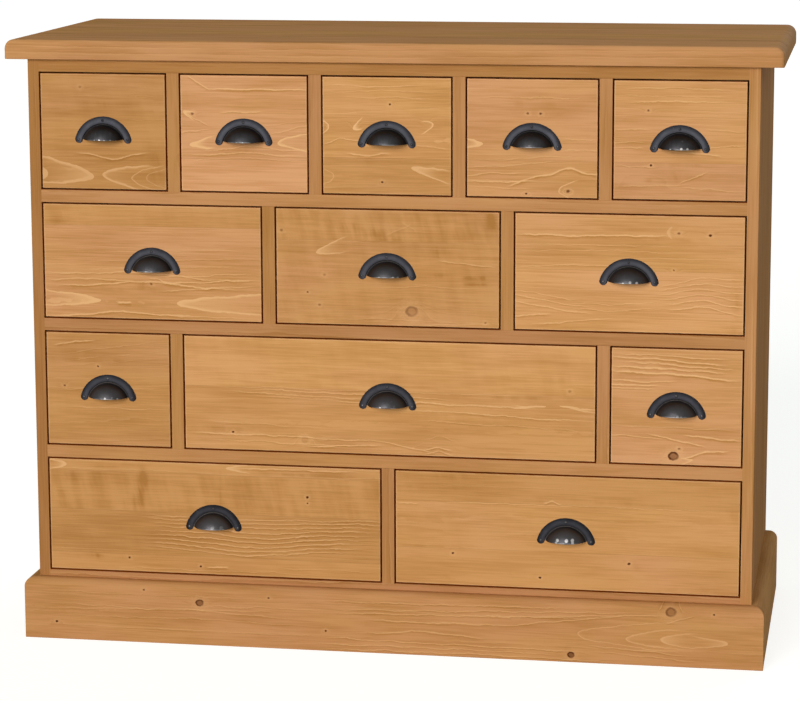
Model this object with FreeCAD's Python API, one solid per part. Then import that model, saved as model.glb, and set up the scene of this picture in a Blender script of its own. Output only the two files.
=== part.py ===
import FreeCAD, Part
import math
import os

# A free-standing chest of thirteen drawers in waxed pine, in millimetres.
# X runs to the right, Y to the rear and Z up, so the drawers face -Y.
# The origin is on the floor, under the middle of the whole chest.

# Carcass
BODY_WIDTH = 1150.0
BODY_DEPTH = 485.0
SIDE_THICKNESS = 18.0
RAIL_HEIGHT = 20.0
RAIL_DEPTH = 45.0
DIVIDER_WIDTH = 20.0
OPENING_HEIGHT = 187.0
ROW_COUNT = 4
FRAME_EASE = 0.8
SIDE_EASE = 1.5

# Top
TOP_THICKNESS = 31.0
TOP_SIDE_OVERHANG = 35.0
TOP_FRONT_OVERHANG = 10.0
TOP_END_ROUND = 15.0
TOP_FRONT_ROUND = 6.0
TOP_EASE = 1.2

# Plinth
PLINTH_HEIGHT = 100.0
PLINTH_THICKNESS = 20.0
PLINTH_ROUND = 14.0
PLINTH_EASE = 1.2
BOTTOM_RAIL_SHOWS = 10.0

# Back of the carcass
BACK_BOARD_COUNT = 11
BACK_BOARD_THICKNESS = 9.0
BACK_BOARD_BEVEL = 2.5

# Frames that the drawers run on
RUNNER_WIDTH = 40.0
GUIDE_HEIGHT = 30.0
STOP_WIDTH = 25.0
STOP_DEPTH = 12.0
STOP_HEIGHT = 8.0
STOP_INSET = 35.0
STOP_CLEARANCE = 0.2
BLOCK_SIZE = 25.0
BLOCK_CLEARANCE = 5.0

# Drawers
DRAWER_GAP = 2.5
DRAWER_LENGTH = 450.0
FRONT_THICKNESS = 20.0
FRONT_EASE = 1.2
BOX_THICKNESS = 12.0
BOX_LIFT = 0.5
BOX_SIDE_HEIGHT = 165.0
BOX_BACK_HEIGHT = 138.0
BOX_EASE = 2.0
SLIP_SIZE = 10.0
BOTTOM_THICKNESS = 6.0

# Cup pulls, whose arch is struck from a centre on the face of the drawer.
# The projection is that of the cup's lip before it is eased.
PULL_RISE = 3.0
PULL_PROJECTION = 26.0
ARCH_RADIUS = 41.0
ARCH_HALF_WIDTH = 6.0
ARCH_END_ANGLE = 15.0
FLANGE_SHOULDER = 1.2
FLANGE_CROWN = 3.2
CUP_RADIUS = 34.0
CUP_MOUTH_HEIGHT = 10.8
CUP_WALL = 2.2
CUP_LIP_EASE = 0.8

# Screws of the pulls and of the top
PULL_SCREW_HEAD_RADIUS = 2.9
PULL_SCREW_HEAD_HEIGHT = 1.5
PULL_SCREW_RADIUS = 1.5
PULL_SCREW_DEPTH = 12.0
PULL_SCREW_SEAT = 2.6
PULL_SCREW_SLOT_WIDTH = 0.7
PULL_SCREW_SLOT_DEPTH = 0.7
PULL_SCREW_TURNS = (25.0, -50.0, 80.0)
TOP_SCREW_HEAD_RADIUS = 4.5
TOP_SCREW_HEAD_HEIGHT = 3.0
TOP_SCREW_RADIUS = 2.25
TOP_SCREW_LENGTH = 38.0
TOP_SCREW_PLACES = (-500.0, -170.0, 170.0, 500.0)

# Places worked out from the sizes above
HALF_BODY = BODY_WIDTH / 2
HALF_INSIDE = HALF_BODY - SIDE_THICKNESS
FRONT = (PULL_PROJECTION - BODY_DEPTH) / 2
REAR = FRONT + BODY_DEPTH
BACK_FACE = REAR - BACK_BOARD_THICKNESS
REAR_RAIL_FRONT = BACK_FACE - RAIL_DEPTH
ROW_PITCH = OPENING_HEIGHT + RAIL_HEIGHT
LOWEST_FLOOR = PLINTH_HEIGHT + BOTTOM_RAIL_SHOWS
TOP_UNDERSIDE = LOWEST_FLOOR + ROW_COUNT * ROW_PITCH
HEIGHT = TOP_UNDERSIDE + TOP_THICKNESS
ARCH_OUTSIDE = ARCH_RADIUS + ARCH_HALF_WIDTH
TOUCH = 0.001


def vector(x, y, z):
    return FreeCAD.Vector(x, y, z)


def board(x, y, z):
    """A square-edged board between the low and high limits given for each axis."""
    size = [high - low for low, high in (x, y, z)]
    return Part.makeBox(size[0], size[1], size[2], vector(x[0], y[0], z[0]))


def edges_at(solid, **planes):
    """The edges that lie in every plane named, such as y=FRONT."""
    found = []
    for edge in solid.Edges:
        box = edge.BoundBox
        limits = {"x": (box.XMin, box.XMax), "y": (box.YMin, box.YMax), "z": (box.ZMin, box.ZMax)}
        if all(abs(limit - at) < TOUCH for axis, at in planes.items() for limit in limits[axis]):
            found.append(edge)
    return found


def ease(solid, radius, **planes):
    """Rounds the edges that lie in every plane named."""
    return solid.makeFillet(radius, edges_at(solid, **planes))


def equal_openings(count):
    """The low and high X of each opening in a row of equal ones."""
    width = (2 * HALF_INSIDE - (count - 1) * DIVIDER_WIDTH) / count
    lows = [-HALF_INSIDE + i * (width + DIVIDER_WIDTH) for i in range(count)]
    return [(low, low + width) for low in lows]


def openings_by_row():
    """The openings of each row, from the top row down; row 3 has the width of row 1 at its ends."""
    fifths = equal_openings(5)
    middle = (fifths[1][0], fifths[3][1])
    return {1: fifths, 2: equal_openings(3), 3: [fifths[0], middle, fifths[4]], 4: equal_openings(2)}


OPENINGS = openings_by_row()


def floor_of(row):
    """The height of the rail's upper face under a row."""
    return LOWEST_FLOOR + (ROW_COUNT - row) * ROW_PITCH


def divider_spans(row):
    """The low and high X of each divider in a row."""
    spans = OPENINGS[row]
    return [(left[1], right[0]) for left, right in zip(spans, spans[1:])]


def frame_levels():
    """The height of each frame's lower face, and the row whose dividers its runners follow."""
    levels = [(floor_of(row) - RAIL_HEIGHT, row) for row in range(1, ROW_COUNT + 1)]
    levels.append((TOP_UNDERSIDE - RAIL_HEIGHT, 1))
    return levels


# Carcass

def top_panel():
    half = HALF_BODY + TOP_SIDE_OVERHANG
    front = FRONT - TOP_FRONT_OVERHANG
    panel = board((-half, half), (front, REAR), (TOP_UNDERSIDE, HEIGHT))
    ends = edges_at(panel, x=-half, z=HEIGHT) + edges_at(panel, x=half, z=HEIGHT)
    panel = panel.makeFillet(TOP_END_ROUND, ends)
    under = edges_at(panel, y=front, z=TOP_UNDERSIDE)
    across = [edge for edge in edges_at(panel, y=front) if not any(edge.isSame(low) for low in under)]
    panel = panel.makeFillet(TOP_FRONT_ROUND, across)
    return ease(panel, TOP_EASE, z=TOP_UNDERSIDE)


def side_panel(side):
    """side is -1 for the left panel and 1 for the right one."""
    outer = side * HALF_BODY
    inner = side * HALF_INSIDE
    panel = board((min(outer, inner), max(outer, inner)), (FRONT, REAR), (0, TOP_UNDERSIDE))
    return ease(panel, SIDE_EASE, x=outer, y=FRONT)


def front_rail(low):
    rail = board((-HALF_INSIDE, HALF_INSIDE), (FRONT, FRONT + RAIL_DEPTH), (low, low + RAIL_HEIGHT))
    rail = ease(rail, FRAME_EASE, y=FRONT, z=low)
    return ease(rail, FRAME_EASE, y=FRONT, z=low + RAIL_HEIGHT)


def rear_rails():
    across = (-HALF_INSIDE, HALF_INSIDE)
    deep = (REAR_RAIL_FRONT, BACK_FACE)
    return [board(across, deep, (low, low + RAIL_HEIGHT)) for low, _ in frame_levels()]


def drawer_dividers():
    posts = []
    for row in OPENINGS:
        low = floor_of(row)
        for span in divider_spans(row):
            post = board(span, (FRONT, FRONT + RAIL_DEPTH), (low, low + OPENING_HEIGHT))
            post = ease(post, FRAME_EASE, x=span[0], y=FRONT)
            posts.append(ease(post, FRAME_EASE, x=span[1], y=FRONT))
    return posts


def drawer_runners():
    """The boards from front to rear at the sides and in line with each divider."""
    along = (FRONT + RAIL_DEPTH, REAR_RAIL_FRONT)
    runners = []
    for low, row in frame_levels():
        high = low + RAIL_HEIGHT
        spans = [(-HALF_INSIDE, RUNNER_WIDTH - HALF_INSIDE), (HALF_INSIDE - RUNNER_WIDTH, HALF_INSIDE)]
        for left, right in divider_spans(row):
            middle = (left + right) / 2
            reach = DIVIDER_WIDTH / 2 + RUNNER_WIDTH / 2
            spans.append((middle - reach, middle + reach))
        runners += [board(span, along, (low, high)) for span in spans]
    return runners


def drawer_guides():
    """The strips that keep neighbouring drawers apart behind each divider."""
    guides = []
    for row in OPENINGS:
        low = floor_of(row)
        for span in divider_spans(row):
            guides.append(board(span, (FRONT + RAIL_DEPTH, BACK_FACE), (low, low + GUIDE_HEIGHT)))
    return guides


def drawer_stops():
    """Two blocks behind each drawer front, which end its travel when it closes."""
    near = FRONT + FRONT_THICKNESS + STOP_CLEARANCE
    deep = (near, near + STOP_DEPTH)
    stops = []
    for row, spans in OPENINGS.items():
        high = (floor_of(row), floor_of(row) + STOP_HEIGHT)
        for left, right in spans:
            for start in (left + STOP_INSET, right - STOP_INSET - STOP_WIDTH):
                stops.append(board((start, start + STOP_WIDTH), deep, high))
    return stops


def back_boards():
    """Upright boards with bevelled edges, which meet in V joints on the outside."""
    width = 2 * HALF_INSIDE / BACK_BOARD_COUNT
    low = LOWEST_FLOOR - RAIL_HEIGHT
    boards = []
    for i in range(BACK_BOARD_COUNT):
        left = -HALF_INSIDE + i * width
        right = left + width
        outline = [
            (left, BACK_FACE),
            (right, BACK_FACE),
            (right, REAR - BACK_BOARD_BEVEL),
            (right - BACK_BOARD_BEVEL, REAR),
            (left + BACK_BOARD_BEVEL, REAR),
            (left, REAR - BACK_BOARD_BEVEL),
        ]
        points = [vector(x, y, low) for x, y in outline]
        face = Part.Face(Part.makePolygon(points + points[:1]))
        boards.append(face.extrude(vector(0, 0, TOP_UNDERSIDE - low)))
    return boards


def top_screws():
    """Screws up through the front and rear rails into the top, with their heads let into the rails."""
    low = TOP_UNDERSIDE - RAIL_HEIGHT
    screws = []
    for x in TOP_SCREW_PLACES:
        for y in (FRONT + RAIL_DEPTH / 2, BACK_FACE - RAIL_DEPTH / 2):
            base = vector(x, y, low)
            head = Part.makeCone(TOP_SCREW_HEAD_RADIUS, TOP_SCREW_RADIUS, TOP_SCREW_HEAD_HEIGHT, base)
            shank = Part.makeCylinder(TOP_SCREW_RADIUS, TOP_SCREW_LENGTH, base)
            screws.append(head.fuse(shank).removeSplitter())
    return screws


# Plinth

def plinth_front():
    half = HALF_BODY + PLINTH_THICKNESS
    face = FRONT - PLINTH_THICKNESS
    plinth = board((-half, half), (face, FRONT), (0, PLINTH_HEIGHT))
    rounded = edges_at(plinth, y=face, z=PLINTH_HEIGHT)
    for end in (-half, half):
        rounded += edges_at(plinth, x=end, z=PLINTH_HEIGHT)
    plinth = plinth.makeFillet(PLINTH_ROUND, rounded)
    return ease(plinth, PLINTH_EASE, y=face, z=0)


def plinth_side(side):
    """side is -1 for the left board and 1 for the right one."""
    inner = side * HALF_BODY
    outer = side * (HALF_BODY + PLINTH_THICKNESS)
    plinth = board((min(inner, outer), max(inner, outer)), (FRONT, REAR), (0, PLINTH_HEIGHT))
    plinth = ease(plinth, PLINTH_ROUND, x=outer, z=PLINTH_HEIGHT)
    return ease(plinth, PLINTH_EASE, x=outer, z=0)


def plinth_rear():
    deep = (REAR - PLINTH_THICKNESS, REAR)
    return board((-HALF_INSIDE, HALF_INSIDE), deep, (0, LOWEST_FLOOR - RAIL_HEIGHT))


def corner_blocks():
    """Upright blocks in the four corners of the plinth, and three more under the bottom rail."""
    high = LOWEST_FLOOR - RAIL_HEIGHT
    corner = HALF_INSIDE - BLOCK_SIZE
    rear = REAR - PLINTH_THICKNESS
    blocks = []
    for x in ((-HALF_INSIDE, -corner), (corner, HALF_INSIDE)):
        for y in ((FRONT, FRONT + BLOCK_SIZE), (rear - BLOCK_SIZE, rear)):
            blocks.append(board(x, y, (BLOCK_CLEARANCE, high)))
    for middle in (-HALF_INSIDE / 2, 0, HALF_INSIDE / 2):
        x = (middle - BLOCK_SIZE, middle + BLOCK_SIZE)
        blocks.append(board(x, (FRONT, FRONT + BLOCK_SIZE), (high - BLOCK_SIZE, high)))
    return blocks


# Drawers

def drawer_front(opening, low):
    x = (opening[0] + DRAWER_GAP, opening[1] - DRAWER_GAP)
    z = (low + DRAWER_GAP, low + OPENING_HEIGHT - DRAWER_GAP)
    front = board(x, (FRONT, FRONT + FRONT_THICKNESS), z)
    return ease(front, FRONT_EASE, y=FRONT)


def drawer_box(opening, low):
    """The two sides, the back, the bottom panel and the slips that it lies on."""
    left = opening[0] + DRAWER_GAP
    right = opening[1] - DRAWER_GAP
    inside = (left + BOX_THICKNESS, right - BOX_THICKNESS)
    near = FRONT + FRONT_THICKNESS
    far = FRONT + DRAWER_LENGTH
    foot = low + BOX_LIFT
    panel = foot + SLIP_SIZE
    pieces = []
    for x in ((left, inside[0]), (inside[1], right)):
        side = board(x, (near, far), (foot, foot + BOX_SIDE_HEIGHT))
        pieces.append(ease(side, BOX_EASE, z=foot + BOX_SIDE_HEIGHT))
    for x in ((inside[0], inside[0] + SLIP_SIZE), (inside[1] - SLIP_SIZE, inside[1])):
        pieces.append(board(x, (near, far), (foot, panel)))
    pieces.append(board(inside, (near, far), (panel, panel + BOTTOM_THICKNESS)))
    back_foot = panel + BOTTOM_THICKNESS
    back = board(inside, (far - BOX_THICKNESS, far), (back_foot, back_foot + BOX_BACK_HEIGHT))
    pieces.append(ease(back, BOX_EASE, z=back_foot + BOX_BACK_HEIGHT))
    return pieces


# Cup pulls

def turned(wire, angle):
    """The solid that a closed wire in the XY plane makes, turned about the Y axis from X towards Z."""
    return Part.Face(wire).revolve(vector(0, 0, 0), vector(0, -1, 0), angle)


def crown_at(across):
    """How far the flange's rounded face stands out, at a distance across from its middle."""
    rise = FLANGE_CROWN - FLANGE_SHOULDER
    radius = (ARCH_HALF_WIDTH ** 2 + rise ** 2) / (2 * rise)
    return FLANGE_CROWN - radius + math.sqrt(radius ** 2 - across ** 2)


def arch_band():
    """The flange between its two rounded ends."""
    inner = ARCH_RADIUS - ARCH_HALF_WIDTH
    corners = [vector(inner, 0, 0), vector(inner, -FLANGE_SHOULDER, 0)]
    corners += [vector(ARCH_OUTSIDE, -FLANGE_SHOULDER, 0), vector(ARCH_OUTSIDE, 0, 0)]
    crown = Part.Arc(corners[1], vector(ARCH_RADIUS, -FLANGE_CROWN, 0), corners[2]).toShape()
    edges = [Part.makeLine(corners[0], corners[1]), crown]
    edges += [Part.makeLine(corners[2], corners[3]), Part.makeLine(corners[3], corners[0])]
    band = turned(Part.Wire(edges), 180 - 2 * ARCH_END_ANGLE)
    band.rotate(vector(0, 0, 0), vector(0, -1, 0), ARCH_END_ANGLE)
    return band


def arch_end():
    """The round button that ends the flange, with the same crown."""
    rim = vector(ARCH_HALF_WIDTH, -FLANGE_SHOULDER, 0)
    peak = vector(0, -FLANGE_CROWN, 0)
    between = vector(ARCH_HALF_WIDTH / 2, -crown_at(ARCH_HALF_WIDTH / 2), 0)
    edges = [
        Part.makeLine(vector(0, 0, 0), vector(ARCH_HALF_WIDTH, 0, 0)),
        Part.makeLine(vector(ARCH_HALF_WIDTH, 0, 0), rim),
        Part.Arc(rim, between, peak).toShape(),
        Part.makeLine(peak, vector(0, 0, 0)),
    ]
    return turned(Part.Wire(edges), 360)


def cup_bowl():
    """The hollow bowl, an ellipse turned about its short axis, and the web that joins it to the flange."""
    depth = PULL_PROJECTION / math.sqrt(1 - (CUP_MOUTH_HEIGHT / CUP_RADIUS) ** 2)
    inner_radius = CUP_RADIUS - CUP_WALL
    inner_depth = depth - CUP_WALL
    quarter = (-math.pi / 2, 0)
    outside = Part.Arc(Part.Ellipse(vector(0, 0, 0), CUP_RADIUS, depth), *quarter).toShape()
    inside = Part.Arc(Part.Ellipse(vector(0, 0, 0), inner_radius, inner_depth), *quarter).toShape()
    edges = [
        outside,
        Part.makeLine(vector(CUP_RADIUS, 0, 0), vector(inner_radius, 0, 0)),
        inside,
        Part.makeLine(vector(0, -inner_depth, 0), vector(0, -depth, 0)),
    ]
    bowl = turned(Part.Wire(Part.__sortEdges__(edges)), 180)
    web_span = (inner_radius, ARCH_RADIUS)
    points = [vector(x, 0, 0) for x in web_span]
    points += [vector(x, -FLANGE_SHOULDER, 0) for x in reversed(web_span)]
    web = turned(Part.makePolygon(points + points[:1]), 180)
    wide = (-ARCH_OUTSIDE, ARCH_OUTSIDE)
    below = board(wide, (-2 * PULL_PROJECTION, PULL_PROJECTION), (-ARCH_OUTSIDE, CUP_MOUTH_HEIGHT))
    return bowl.fuse(web).cut(below)


def pull_screw(turn):
    """A slotted round-headed screw whose head rests on the flange, with its shank along +Y."""
    rim = vector(PULL_SCREW_HEAD_RADIUS, -PULL_SCREW_SEAT, 0)
    peak = vector(0, -PULL_SCREW_SEAT - PULL_SCREW_HEAD_HEIGHT, 0)
    dome = (PULL_SCREW_HEAD_RADIUS ** 2 + PULL_SCREW_HEAD_HEIGHT ** 2) / (2 * PULL_SCREW_HEAD_HEIGHT)
    across = PULL_SCREW_HEAD_RADIUS / 2
    between = vector(across, peak.y + dome - math.sqrt(dome ** 2 - across ** 2), 0)
    neck = vector(PULL_SCREW_RADIUS, -PULL_SCREW_SEAT, 0)
    shoulder = vector(PULL_SCREW_RADIUS, PULL_SCREW_DEPTH - PULL_SCREW_RADIUS, 0)
    tip = vector(0, PULL_SCREW_DEPTH, 0)
    edges = [
        Part.Arc(peak, between, rim).toShape(),
        Part.makeLine(rim, neck),
        Part.makeLine(neck, shoulder),
        Part.makeLine(shoulder, tip),
        Part.makeLine(tip, peak),
    ]
    reach = 2 * PULL_SCREW_HEAD_RADIUS
    half_slot = PULL_SCREW_SLOT_WIDTH / 2
    slot = board((-reach, reach), (peak.y - reach, peak.y + PULL_SCREW_SLOT_DEPTH), (-half_slot, half_slot))
    slot.rotate(vector(0, 0, 0), vector(0, 1, 0), turn)
    return turned(Part.Wire(edges), 360).cut(slot).Solids[0]


def cup_pull():
    """One casting and its three screws, about the centre that the arch is struck from."""
    angle = math.radians(ARCH_END_ANGLE)
    across = ARCH_RADIUS * math.cos(angle)
    ends = [vector(side * across, 0, ARCH_RADIUS * math.sin(angle)) for side in (-1, 1)]
    casting = arch_band()
    for end in ends:
        casting = casting.fuse(arch_end().translated(end))
    casting = casting.fuse(cup_bowl()).removeSplitter()
    mouth = edges_at(casting, z=CUP_MOUTH_HEIGHT)
    lip = [edge for edge in mouth if edge.BoundBox.YMin < 2 * CUP_WALL - PULL_PROJECTION]
    casting = casting.makeFillet(CUP_LIP_EASE, lip)
    places = ends + [vector(0, 0, ARCH_RADIUS)]
    screws = [pull_screw(turn).translated(place) for turn, place in zip(PULL_SCREW_TURNS, places)]
    for screw in screws:
        casting = casting.cut(screw)
    return casting.Solids + screws


def pull_place(opening, low):
    """Where the arch's centre goes, so that the pull as a whole sits a little above the drawer's middle."""
    middle = low + OPENING_HEIGHT / 2
    bottom = ARCH_RADIUS * math.sin(math.radians(ARCH_END_ANGLE)) - ARCH_HALF_WIDTH
    centre = middle + PULL_RISE - (ARCH_OUTSIDE + bottom) / 2
    return vector((opening[0] + opening[1]) / 2, FRONT, centre)


# Files

def write(name, solids):
    """Writes the separate solids of one node to its own file."""
    for solid in solids:
        if not solid.isValid() or len(solid.Solids) != 1:
            raise ValueError(name + " is not one valid solid")
    shape = solids[0] if len(solids) == 1 else Part.makeCompound(solids)
    shape.exportStep("parts/" + name + ".step")
    print(name, len(solids), round(shape.Volume))


def write_carcass():
    write("top_panel", [top_panel()])
    write("side_panel_left", [side_panel(-1)])
    write("side_panel_right", [side_panel(1)])
    write("top_front_rail", [front_rail(TOP_UNDERSIDE - RAIL_HEIGHT)])
    for row in (1, 2, 3):
        write("rail_below_row" + str(row), [front_rail(floor_of(row) - RAIL_HEIGHT)])
    write("bottom_rail", [front_rail(LOWEST_FLOOR - RAIL_HEIGHT)])
    write("drawer_dividers", drawer_dividers())
    write("rear_rails", rear_rails())
    write("drawer_runners", drawer_runners())
    write("drawer_guides", drawer_guides())
    write("drawer_stops", drawer_stops())
    write("back_boards", back_boards())
    write("top_screws", top_screws())


def write_plinth():
    write("plinth_front", [plinth_front()])
    write("plinth_left", [plinth_side(-1)])
    write("plinth_right", [plinth_side(1)])
    write("plinth_rear", [plinth_rear()])
    write("corner_blocks", corner_blocks())


def write_drawers():
    pull = cup_pull()
    for row, spans in OPENINGS.items():
        low = floor_of(row)
        for number, opening in enumerate(spans, 1):
            name = "row" + str(row) + "_drawer" + str(number)
            write(name + "_front", [drawer_front(opening, low)])
            write(name + "_box", drawer_box(opening, low))
            write(name + "_pull", [solid.translated(pull_place(opening, low)) for solid in pull])


os.makedirs("parts", exist_ok=True)
write_carcass()
write_plinth()
write_drawers()
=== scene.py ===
"""Dresses the chest of drawers in waxed pine and black iron, and sets its floor, lamps and camera."""
import math
from collections import defaultdict, namedtuple

import bpy
from bpy.props import FloatProperty, FloatVectorProperty, PointerProperty
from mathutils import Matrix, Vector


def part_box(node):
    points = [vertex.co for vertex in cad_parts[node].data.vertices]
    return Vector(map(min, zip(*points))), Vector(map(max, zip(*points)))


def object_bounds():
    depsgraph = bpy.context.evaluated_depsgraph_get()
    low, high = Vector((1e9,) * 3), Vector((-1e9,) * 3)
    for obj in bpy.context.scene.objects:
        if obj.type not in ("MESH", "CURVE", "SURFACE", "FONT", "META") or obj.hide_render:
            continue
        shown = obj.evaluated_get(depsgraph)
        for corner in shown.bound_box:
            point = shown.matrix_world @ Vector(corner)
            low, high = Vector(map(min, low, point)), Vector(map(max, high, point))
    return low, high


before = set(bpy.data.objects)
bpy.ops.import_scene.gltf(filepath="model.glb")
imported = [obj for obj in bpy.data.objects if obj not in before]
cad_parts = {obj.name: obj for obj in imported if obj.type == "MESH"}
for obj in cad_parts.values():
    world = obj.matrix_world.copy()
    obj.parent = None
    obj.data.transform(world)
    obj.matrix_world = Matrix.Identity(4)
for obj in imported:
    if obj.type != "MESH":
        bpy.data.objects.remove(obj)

bl_info = {
    "name": "Pine chest of drawers",
    "version": (1, 0, 0),
    "blender": (4, 5, 0),
    "location": "View3D > Sidebar > Chest",
    "description": "Finishes for a waxed pine chest of thirteen drawers with iron cup pulls",
    "category": "Object",
}

MM = 0.001

# Places on the chest, read from the frame
CAD_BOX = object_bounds()
FACE_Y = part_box("side_panel_left")[0].y
REAR_Y = CAD_BOX[1].y
TOP_Z = CAD_BOX[1].z
SIDE_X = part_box("side_panel_right")[1].x
PLINTH_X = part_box("plinth_right")[1].x
PLINTH_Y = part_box("plinth_front")[0].y
SIDE_THICK = 18 * MM
BACK_BOARDS = 11

# Cup pulls. The arch is struck from a centre that lies PULL_FOOT below the pull's lowest edge. The edges of
# the arch, the mouth and the screws, across and up, are placed from that centre
PULL_FOOT = 4.6 * MM
PULL_ARCH = (36.5 * MM, 46.0 * MM)
PULL_MOUTH = 10.8 * MM
PULL_FLANGE = 3.3 * MM
PULL_SCREWS = [(39.6 * MM, 10.6 * MM), (0.0, 41.0 * MM)]

WHITE = (1.0, 1.0, 1.0, 1.0)

# How deep the relief of any finish is at its full strength, how far slow noise moves a board's heart, and
# how far coarse and fine noise move a ring
RELIEF_DEPTH = 0.3 * MM
WANDER = 12 * MM
RIPPLE = 4.5 * MM
RAGGED = 2.2 * MM

# Shader trees

class Wire:
    """A number, vector or colour in a shader tree. Arithmetic on it adds Math nodes to the tree."""

    def __init__(self, tree, socket):
        self.tree = tree
        self.socket = socket

    def math(self, operation, *others, clamp=False):
        node = add_node(self.tree, "Math", self, *others, operation=operation, use_clamp=clamp)
        return Wire(self.tree, node.outputs[0])

    def __add__(self, other):
        return self.math("ADD", other)

    __radd__ = __add__

    def __sub__(self, other):
        return self.math("SUBTRACT", other)

    def __rsub__(self, other):
        return self.math("MULTIPLY_ADD", -1.0, other)

    def __mul__(self, other):
        return self.math("MULTIPLY", other)

    __rmul__ = __mul__

    def __truediv__(self, other):
        return self.math("DIVIDE", other)

    def ramp(self, start, end):
        """0 at start and 1 at end, with an even S curve between them; start may be above end."""
        node = add_node(self.tree, "MapRange", self, start, end, interpolation_type="SMOOTHSTEP")
        return Wire(self.tree, node.outputs[0])

    def held(self):
        """The same number, held between 0 and 1."""
        return self.math("ADD", 0.0, clamp=True)


def feed(socket, value):
    """Gives a socket a number, a colour, or what a wire carries."""
    if isinstance(value, Wire):
        value.tree.links.new(value.socket, socket)
    elif value is not None:
        socket.default_value = value


def feed_inputs(node, values):
    """Feeds the inputs of a node by their names."""
    for label, value in values.items():
        feed(node.inputs[label], value)


def add_node(tree, kind, *values, **settings):
    """Adds a shader node, sets it up and feeds its inputs in order."""
    node = tree.nodes.new("ShaderNode" + kind)
    for name, value in settings.items():
        setattr(node, name, value)
    for socket, value in zip(node.inputs, values):
        feed(socket, value)
    count = len(tree.nodes)
    node.location = (220 * (count // 6), -190 * (count % 6))
    return node


def split(wire):
    """The three parts of a vector."""
    node = add_node(wire.tree, "SeparateXYZ", wire)
    return [Wire(wire.tree, socket) for socket in node.outputs]


def join(tree, x, y, z):
    """A vector of three numbers or wires."""
    return Wire(tree, add_node(tree, "CombineXYZ", x, y, z).outputs[0])


def each_part(tree, operation, first, second):
    """Arithmetic on each of the three parts of two vectors or colours."""
    return Wire(tree, add_node(tree, "VectorMath", first, second, operation=operation).outputs[0])


def clouds(tree, x, y, z, detail=2.0):
    """Soft noise from 0 to 1 whose patches are one unit across, and three such noises as a vector."""
    node = add_node(tree, "TexNoise", join(tree, x, y, z), noise_dimensions="3D")
    feed_inputs(node, {"Scale": 1.0, "Detail": detail})
    return Wire(tree, node.outputs["Fac"]), Wire(tree, node.outputs["Color"])


def chances(tree, number, seed):
    """Three random numbers from 0 to 1 for each whole number and seed."""
    node = add_node(tree, "TexWhiteNoise", join(tree, number, seed, 0.0), noise_dimensions="3D")
    return split(Wire(tree, node.outputs["Color"]))


# A Mix node keeps its number, vector and colour sockets in one list, at these places
MIX_SOCKETS = {"VECTOR": (4, 5, 1), "RGBA": (6, 7, 2)}


def mix(kind, share, first, second):
    """first where share is 0, and second where it is 1."""
    node = add_node(share.tree, "Mix", share, data_type=kind)
    low, high, result = MIX_SOCKETS[kind]
    feed(node.inputs[low], first)
    feed(node.inputs[high], second)
    return Wire(share.tree, node.outputs[result])


def start_group(name, vectors, numbers, colours=()):
    """A new shader group and a wire from each input."""
    tree = bpy.data.node_groups.new(name, "ShaderNodeTree")
    for kind, labels in (("Vector", vectors), ("Float", numbers), ("Color", colours)):
        for label in labels:
            tree.interface.new_socket(label, in_out="INPUT", socket_type="NodeSocket" + kind)
    source = tree.nodes.new("NodeGroupInput")
    source.location = (-300, 0)
    return tree, [Wire(tree, source.outputs[label]) for label in (*vectors, *numbers, *colours)]


def start_mark(kind, vectors=(), numbers=()):
    """The group of a kind of mark, how far a place lies along and across from the mark's own place, and a
    wire from each other input.
    """
    tree, (board, *wires) = start_group(kind, ["Board", *vectors], [*MARKS[kind], *numbers])
    along, across, _ = split(board)
    count = len(vectors)
    middle_along, middle_across = wires[count:count + 2]
    return tree, along - middle_along, across - middle_across, wires[:count] + wires[count + 2:]


def end_group(tree, **outputs):
    """Sends the finished wires out of a group. The output named Colour is a colour."""
    for label in outputs:
        kind = "Color" if label == "Colour" else "Float"
        tree.interface.new_socket(label, in_out="OUTPUT", socket_type="NodeSocket" + kind)
    sink = tree.nodes.new("NodeGroupOutput")
    sink.location = (220 * (len(tree.nodes) // 6 + 2), 0)
    feed_inputs(sink, outputs)


def use_group(tree, name, **values):
    """Places a shader group, with its own values, and returns a wire from each of its outputs."""
    node = add_node(tree, "Group", node_tree=bpy.data.node_groups[name])
    feed_inputs(node, values)
    return {socket.name: Wire(tree, socket) for socket in node.outputs}


def new_material(name):
    """A material with its tree and its shader."""
    material = bpy.data.materials.new(name)
    material.use_nodes = True
    return material, material.node_tree, material.node_tree.nodes["Principled BSDF"]


def chest_axes(tree):
    """The x, y and z of the place on the chest."""
    return split(Wire(tree, add_node(tree, "TexCoord").outputs["Object"]))


def add_relief(tree, shader, strength, height):
    """Gives a shader the relief of a height from 0 to about 1."""
    bump = add_node(tree, "Bump")
    feed_inputs(bump, {"Strength": strength, "Distance": RELIEF_DEPTH, "Height": height})
    tree.links.new(bump.outputs["Normal"], shader.inputs["Normal"])


# What the numbers of a mark are, by its shader group. Those in IN_MM are millimetres. A mark may leave
# out the last ones, which are 0 then
MARKS = {
    "Knot": ("Along", "Across", "Size", "Dark"),
    "Swell": ("Along", "Across", "Length", "Height", "Rings"),
    "Tongue": ("Along", "Across", "Toward", "Size", "Lean", "Thick", "Reach", "Strength", "Filled"),
    "Vein": ("Along", "Across", "Half", "Thick", "Strength", "Lean", "Bow"),
}
IN_MM = {"Along", "Across", "Size", "Length", "Height", "Thick", "Reach", "Half", "Bow"}

# Effects that the pine finishes share. Board is the place in metres along, across and through a board

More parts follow.
